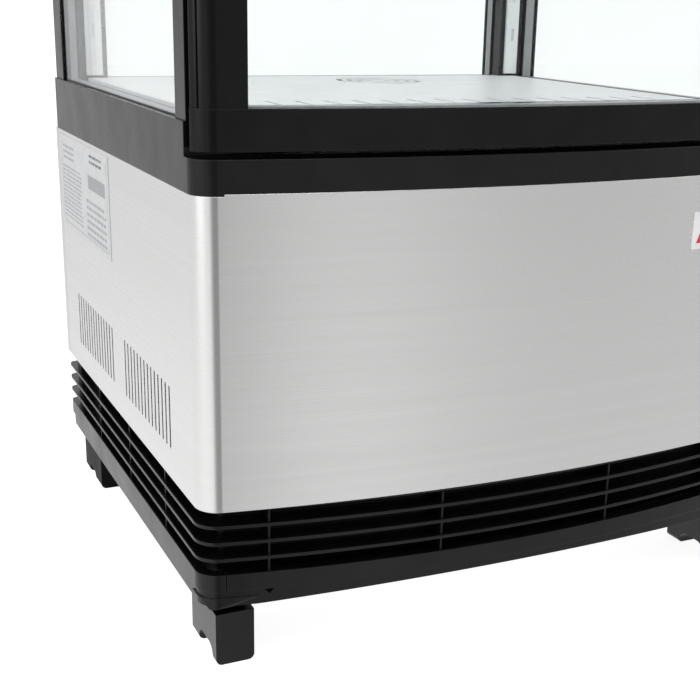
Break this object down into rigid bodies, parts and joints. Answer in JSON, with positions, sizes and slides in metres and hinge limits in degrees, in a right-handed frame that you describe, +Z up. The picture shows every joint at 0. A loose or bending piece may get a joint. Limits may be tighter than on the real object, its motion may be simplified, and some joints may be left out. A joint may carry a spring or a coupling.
{
  "type": "glass door merchandiser",
  "caption": "Countertop refrigerated display with glass sides, a bowed hinged glass door, wire shelves, a lit canopy and a louvred stainless machine base on feet.",
  "frame": {"origin": "on the counter, under the middle of the body", "axes": "+X to the right as seen from the front, +Y to the back, +Z up; the door faces -Y"},
  "size_m": [0.428, 0.386, 0.96],
  "materials": {
    "base_black": "satin moulded plastic",
    "frame_black": "gloss black",
    "door_black": "high gloss black",
    "gasket_black": "soft magnetic seal",
    "rubber": "matte",
    "stainless": "horizontal brush",
    "stainless_rear": "fine brush",
    "galvanised": "galvanised",
    "compressor_black": "black enamel",
    "coil_aluminium": "thin fins",
    "motor_grey": "satin",
    "fan_white": "moulded",
    "matte_black": "fine grain",
    "copper": "drawn copper tube",
    "badge_white": "gloss white",
    "label_white": "printed film",
    "button_grey": "soft touch",
    "rocker_green": "gloss",
    "liner_white": "vacuum formed liner",
    "deck_white": "white powder coat",
    "spacer_grey": "anodised",
    "shelf_chrome": "bright chrome wire",
    "zinc": "zinc plated",
    "nylon": "natural nylon",
    "glass": "clear toughened",
    "light_diffuser": "frosted",
    "sign_white": "opal"
  },
  "bodies": {
    "cabinet": {"base_moulding": "base_black", "foot_front_left": "base_black", "foot_front_right": "base_black", "foot_rear_left": "base_black", "foot_rear_right": "base_black", "chassis_plate": "galvanised", "compressor": "compressor_black", "compressor_grommets": "rubber", "condenser_coil": "coil_aluminium", "condenser_shroud": "matte_black", "condenser_fan_motor": "motor_grey", "refrigerant_lines": "copper", "control_box": "galvanised", "drain_pan": "matte_black", "body_panel": "stainless", "rear_panel": "stainless_rear", "badge": "badge_white", "rating_label": "label_white", "power_inlet": "matte_black", "controller": "matte_black", "switch_housing": "matte_black", "deck_frame": "frame_black", "floor_tub": "liner_white", "deck_plate": "deck_white", "evaporator_coil": "coil_aluminium", "evaporator_fan_motor": "motor_grey", "front_posts": "frame_black", "rear_posts": "frame_black", "side_glass_left": "glass", "side_glass_right": "glass", "rear_glass": "glass", "glazing_spacers": "spacer_grey", "shelf_pilasters": "deck_white", "shelf_clips": "zinc", "shelf_lower": "shelf_chrome", "shelf_middle": "shelf_chrome", "shelf_upper": "shelf_chrome", "light_strips": "light_diffuser", "top_frame": "frame_black", "ceiling_panel": "liner_white", "canopy": "frame_black", "top_cover": "frame_black", "sign_lens": "sign_white", "sign_lamp": "light_diffuser", "hinge_brackets": "zinc", "screws": "zinc"},
    "door": {"door_bottom_rail": "door_black", "door_top_rail": "door_black", "door_stile_left": "door_black", "door_stile_right": "door_black", "door_glass": "glass", "door_spacer": "spacer_grey", "door_gasket": "gasket_black", "hinge_bushes": "nylon"},
    "condenser_rotor": {"condenser_fan": "fan_white"},
    "evaporator_rotor": {"evaporator_fan": "fan_white"},
    "rocker": {"lamp_rocker": "rocker_green"},
    "set_button": {"button_set": "button_grey"},
    "up_button": {"button_up": "button_grey"},
    "down_button": {"button_down": "button_grey"}
  },
  "joints": [
    {"name": "door_hinge", "type": "hinge", "parent": "cabinet", "child": "door", "pos_m": [0.2045, -0.165, 0.3115], "axis": [0, 0, 1], "range_deg": [0, 110]},
    {"name": "condenser_fan_spin", "type": "hinge", "parent": "cabinet", "child": "condenser_rotor", "pos_m": [-0.13, -0.02, 0.136], "axis": [1, 0, 0], "continuous": true},
    {"name": "evaporator_fan_spin", "type": "hinge", "parent": "cabinet", "child": "evaporator_rotor", "pos_m": [0.03, 0.112, 0.306], "axis": [0, 0, 1], "continuous": true},
    {"name": "lamp_rocker_tilt", "type": "hinge", "parent": "cabinet", "child": "rocker", "pos_m": [-0.16, 0.186, 0.19], "axis": [0, 0, 1], "range_deg": [0, 13]},
    {"name": "button_set_press", "type": "slide", "parent": "cabinet", "child": "set_button", "axis": [0, -1, 0], "range_m": [0, 0.0015], "stiffness_N_per_m": 250, "springref_m": -0.0005},
    {"name": "button_up_press", "type": "slide", "parent": "cabinet", "child": "up_button", "axis": [0, -1, 0], "range_m": [0, 0.0015], "stiffness_N_per_m": 250, "springref_m": -0.0005},
    {"name": "button_down_press", "type": "slide", "parent": "cabinet", "child": "down_button", "axis": [0, -1, 0], "range_m": [0, 0.0015], "stiffness_N_per_m": 250, "springref_m": -0.0005}
  ]
}
